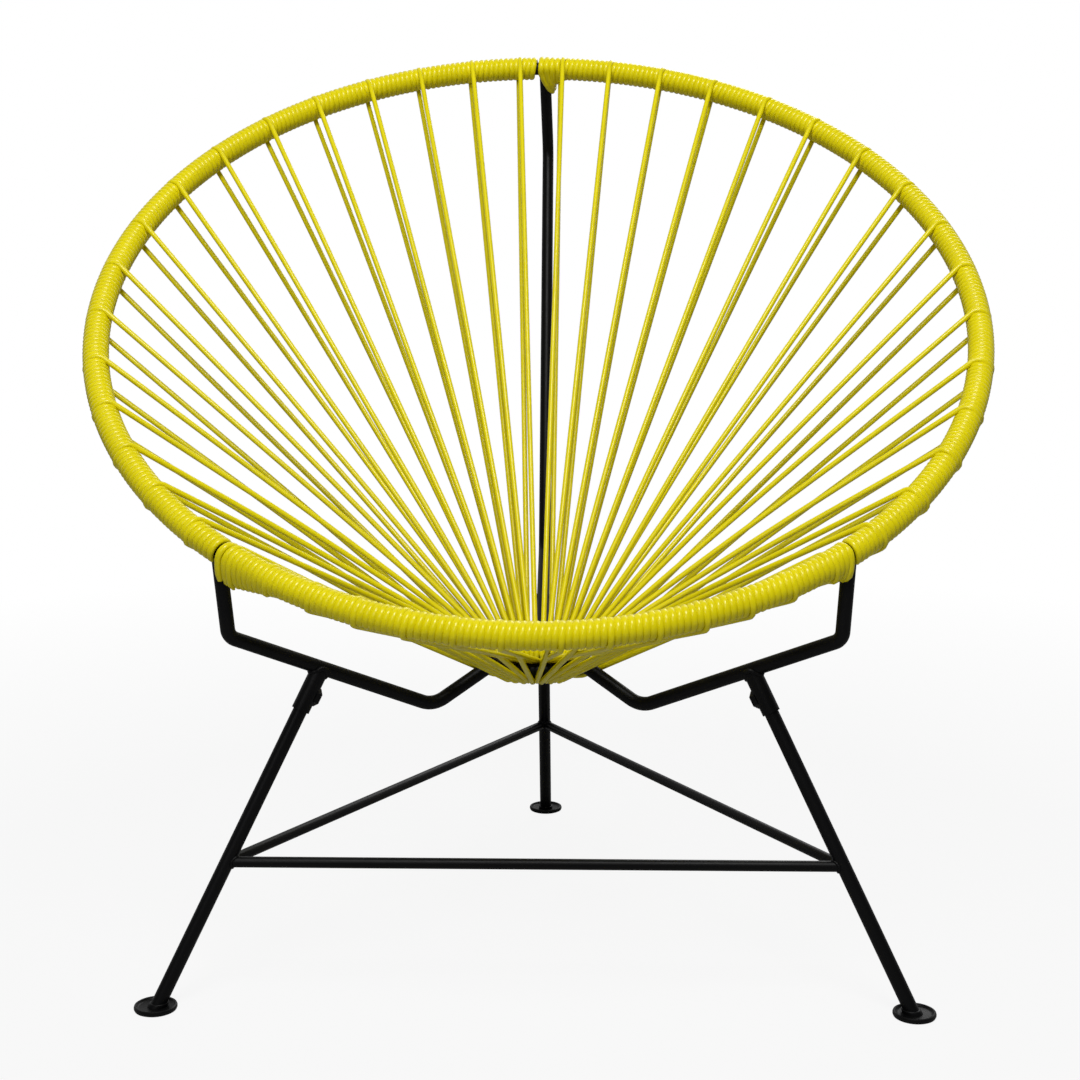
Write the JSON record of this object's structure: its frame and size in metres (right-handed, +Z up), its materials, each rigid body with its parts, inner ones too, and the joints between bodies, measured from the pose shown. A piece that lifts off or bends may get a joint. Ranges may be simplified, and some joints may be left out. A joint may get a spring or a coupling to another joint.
{
  "type": "acapulco chair",
  "caption": "Round lounge chair: tipped-back hoop wrapped with yellow vinyl cord, cord strands drawn to a ring under the seat, black rod frame on tripod legs.",
  "frame": {"origin": "on the floor, at the middle of the chair's bounding box seen from above", "axes": "+Z up; the seat faces -Y; +X is to the right of someone who looks at the chair from in front"},
  "size_m": [0.8638, 0.7502, 0.8556],
  "materials": {
    "powder_coated_steel": "satin black powder coat on steel rod",
    "black_screw": "black oxide",
    "vinyl_cord": "glossy solid yellow vinyl"
  },
  "bodies": {
    "root": {"back_arm": "powder_coated_steel", "back_foot": "powder_coated_steel", "back_leg": "powder_coated_steel", "back_leg_socket": "powder_coated_steel", "back_set_screw": "black_screw", "back_socket_nut": "powder_coated_steel", "cord_front_1": "vinyl_cord", "cord_front_2": "vinyl_cord", "cord_front_3": "vinyl_cord", "cord_lashing_front_left": "vinyl_cord", "cord_lashing_front_right": "vinyl_cord", "cord_lashing_top": "vinyl_cord", "cord_left_1": "vinyl_cord", "cord_left_2": "vinyl_cord", "cord_left_3": "vinyl_cord", "cord_left_4": "vinyl_cord", "cord_right_1": "vinyl_cord", "cord_right_2": "vinyl_cord", "cord_right_3": "vinyl_cord", "cord_right_4": "vinyl_cord", "front_left_arm": "powder_coated_steel", "front_left_foot": "powder_coated_steel", "front_left_leg": "powder_coated_steel", "front_left_leg_socket": "powder_coated_steel", "front_left_set_screw": "black_screw", "front_left_socket_nut": "powder_coated_steel", "front_right_arm": "powder_coated_steel", "front_right_foot": "powder_coated_steel", "front_right_leg": "powder_coated_steel", "front_right_leg_socket": "powder_coated_steel", "front_right_set_screw": "black_screw", "front_right_socket_nut": "powder_coated_steel", "front_stretcher": "powder_coated_steel", "hoop": "powder_coated_steel", "hub_ring": "powder_coated_steel", "left_stretcher": "powder_coated_steel", "right_stretcher": "powder_coated_steel"}
  },
  "joints": []
}
